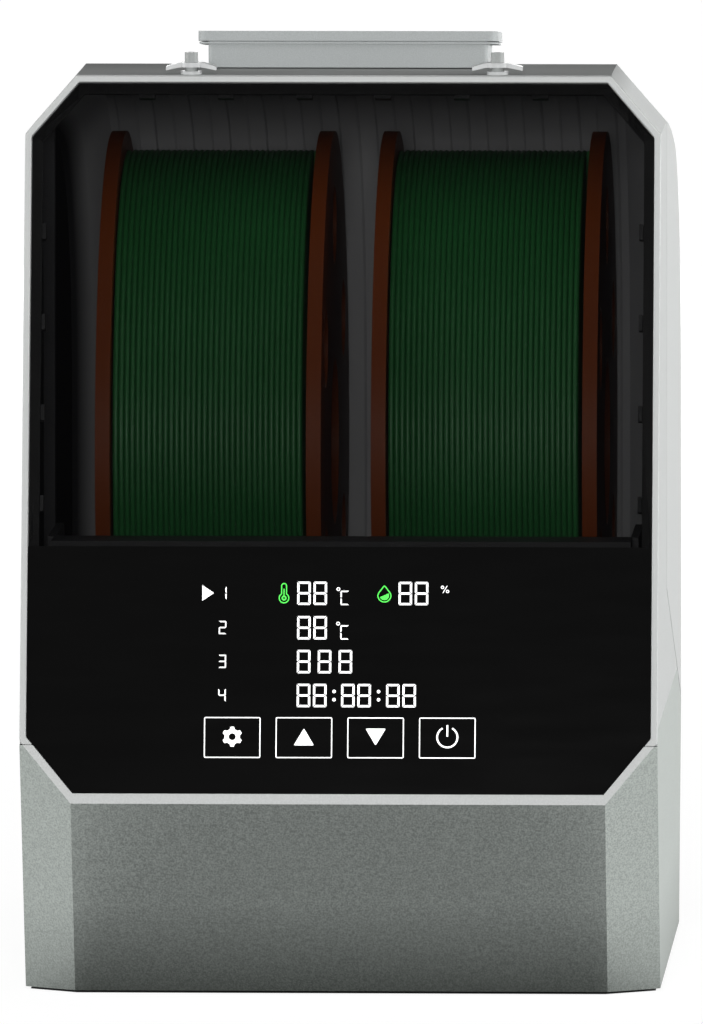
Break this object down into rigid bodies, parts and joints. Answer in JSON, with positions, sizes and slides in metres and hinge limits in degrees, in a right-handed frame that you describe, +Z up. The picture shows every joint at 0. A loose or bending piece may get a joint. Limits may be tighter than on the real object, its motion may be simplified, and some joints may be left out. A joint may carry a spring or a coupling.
{
  "type": "filament dryer box",
  "caption": "Upright grey filament dryer box with a leaning clear window, a touch panel with lit digits, a ribbed lid that swings back, and spools on rollers over a heater and fan.",
  "frame": {"origin": "on the ground under the middle of the case", "axes": "+X to the right, seen from the front; +Y to the back, from the window to the lid; +Z up"},
  "size_m": [0.202, 0.27, 0.3025],
  "materials": {
    "case_grey": "fine-grained moulded plastic, light grey",
    "cover_dark": "fine-grained moulded plastic",
    "bezel_grey": "smooth satin moulding",
    "window_clear": "clear polished acrylic",
    "panel_black": "gloss black touch panel with printed keys",
    "foam_black": "closed-cell foam",
    "clip_black": "moulded",
    "display_black": "digit module",
    "circuit_board": "solder-mask green board with parts",
    "liner_black": "heat-proof moulding, matte black",
    "axle_steel": "ground steel rod",
    "grille_dark": "perforated and painted sheet",
    "duct_grey": "heat-proof moulding",
    "heater_fins": "finned heater",
    "fan_black": "moulded",
    "sensor_white": "vented sensor shell",
    "supply_board": "board with capacitors and a transformer",
    "inlet_black": "moulded appliance inlet",
    "pin_brass": "plated contact pins",
    "lead_black": "insulated wire",
    "foot_rubber": "soft rubber pad",
    "screw_steel": "zinc-plated screw",
    "seal_black": "soft silicone strip",
    "lid_grey": "moulded plastic with raised ribs, light grey",
    "handle_grey": "sand-textured moulding, grey",
    "magnet_nickel": "nickel-plated disc",
    "spool_orange": "moulded orange-brown flanges",
    "filament_green": "wound filament, dark green",
    "roller_grey": "moulded wheel with a soft tread",
    "bearing_steel": "small ball bearing",
    "outlet_grey": "moulded fitting",
    "tube_white": "slick fluoropolymer tube"
  },
  "bodies": {
    "case": {"base_housing": "case_grey", "bottom_cover": "cover_dark", "front_bezel": "bezel_grey", "front_window": "window_clear", "touch_panel": "panel_black", "window_foam": "foam_black", "window_clips": "clip_black", "display_module": "display_black", "touch_board": "circuit_board", "chamber_liner": "liner_black", "roller_cradle": "liner_black", "front_axle": "axle_steel", "rear_axle": "axle_steel", "chamber_grille": "grille_dark", "heater_duct": "duct_grey", "heater_core": "heater_fins", "fan_frame": "fan_black", "humidity_sensor": "sensor_white", "control_board": "circuit_board", "power_supply": "supply_board", "mains_inlet": "inlet_black", "inlet_pins": "pin_brass", "mains_leads": "lead_black", "display_cable": "lead_black", "fan_lead": "lead_black", "sensor_lead": "lead_black", "rubber_feet": "foot_rubber", "cover_screws": "screw_steel", "liner_screws": "screw_steel", "cradle_screws": "screw_steel", "fan_screws": "screw_steel", "board_screws": "screw_steel", "hinge_pins": "axle_steel", "lid_seal": "seal_black", "keeper_plates": "axle_steel", "outlet_left": "outlet_grey", "outlet_right": "outlet_grey", "tube_left": "tube_white", "tube_right": "tube_white"},
    "lid": {"rear_lid": "lid_grey", "lid_handle": "handle_grey", "handle_screws": "screw_steel", "lid_magnets": "magnet_nickel"},
    "left_spool": {"spool_left": "spool_orange", "filament_left": "filament_green"},
    "right_spool": {"spool_right": "spool_orange", "filament_right": "filament_green"},
    "front_left_roller": {"roller_front_left": "roller_grey", "bearings_front_left": "bearing_steel"},
    "front_right_roller": {"roller_front_right": "roller_grey", "bearings_front_right": "bearing_steel"},
    "rear_left_roller": {"roller_rear_left": "roller_grey", "bearings_rear_left": "bearing_steel"},
    "rear_right_roller": {"roller_rear_right": "roller_grey", "bearings_rear_right": "bearing_steel"},
    "fan": {"fan_rotor": "fan_black"},
    "left_collar": {"collar_left": "outlet_grey"},
    "right_collar": {"collar_right": "outlet_grey"}
  },
  "joints": [
    {"name": "lid_hinge", "type": "hinge", "parent": "case", "child": "lid", "pos_m": [0, 0.1304, 0.0685], "axis": [-1, 0, 0], "range_deg": [0, 100]},
    {"name": "left_spool_turn", "type": "hinge", "parent": "case", "child": "left_spool", "pos_m": [-0.044, 0.024, 0.1645], "axis": [1, 0, 0], "continuous": true},
    {"name": "right_spool_turn", "type": "hinge", "parent": "case", "child": "right_spool", "pos_m": [0.044, 0.024, 0.1645], "axis": [1, 0, 0], "continuous": true},
    {"name": "front_left_roller_turn", "type": "hinge", "parent": "case", "child": "front_left_roller", "pos_m": [-0.044, -0.03065, 0.06984], "axis": [1, 0, 0], "continuous": true},
    {"name": "front_right_roller_turn", "type": "hinge", "parent": "case", "child": "front_right_roller", "pos_m": [0.044, -0.03065, 0.06984], "axis": [1, 0, 0], "continuous": true},
    {"name": "rear_left_roller_turn", "type": "hinge", "parent": "case", "child": "rear_left_roller", "pos_m": [-0.044, 0.07865, 0.06984], "axis": [1, 0, 0], "continuous": true},
    {"name": "rear_right_roller_turn", "type": "hinge", "parent": "case", "child": "rear_right_roller", "pos_m": [0.044, 0.07865, 0.06984], "axis": [1, 0, 0], "continuous": true},
    {"name": "fan_turn", "type": "hinge", "parent": "case", "child": "fan", "pos_m": [0, 0.024, 0.02], "axis": [0, 0, 1], "continuous": true},
    {"name": "left_collar_press", "type": "slide", "parent": "case", "child": "left_collar", "axis": [0, 0, -1], "range_m": [0, 0.001], "stiffness_N_per_m": 200, "springref_m": -0.0005},
    {"name": "right_collar_press", "type": "slide", "parent": "case", "child": "right_collar", "axis": [0, 0, -1], "range_m": [0, 0.001], "stiffness_N_per_m": 200, "springref_m": -0.0005}
  ],
  "couplings": [
    {"joint": "front_left_roller_turn", "follows": "left_spool_turn", "ratio": -11.111},
    {"joint": "front_right_roller_turn", "follows": "right_spool_turn", "ratio": -11.111},
    {"joint": "rear_left_roller_turn", "follows": "left_spool_turn", "ratio": -11.111},
    {"joint": "rear_right_roller_turn", "follows": "right_spool_turn", "ratio": -11.111}
  ]
}
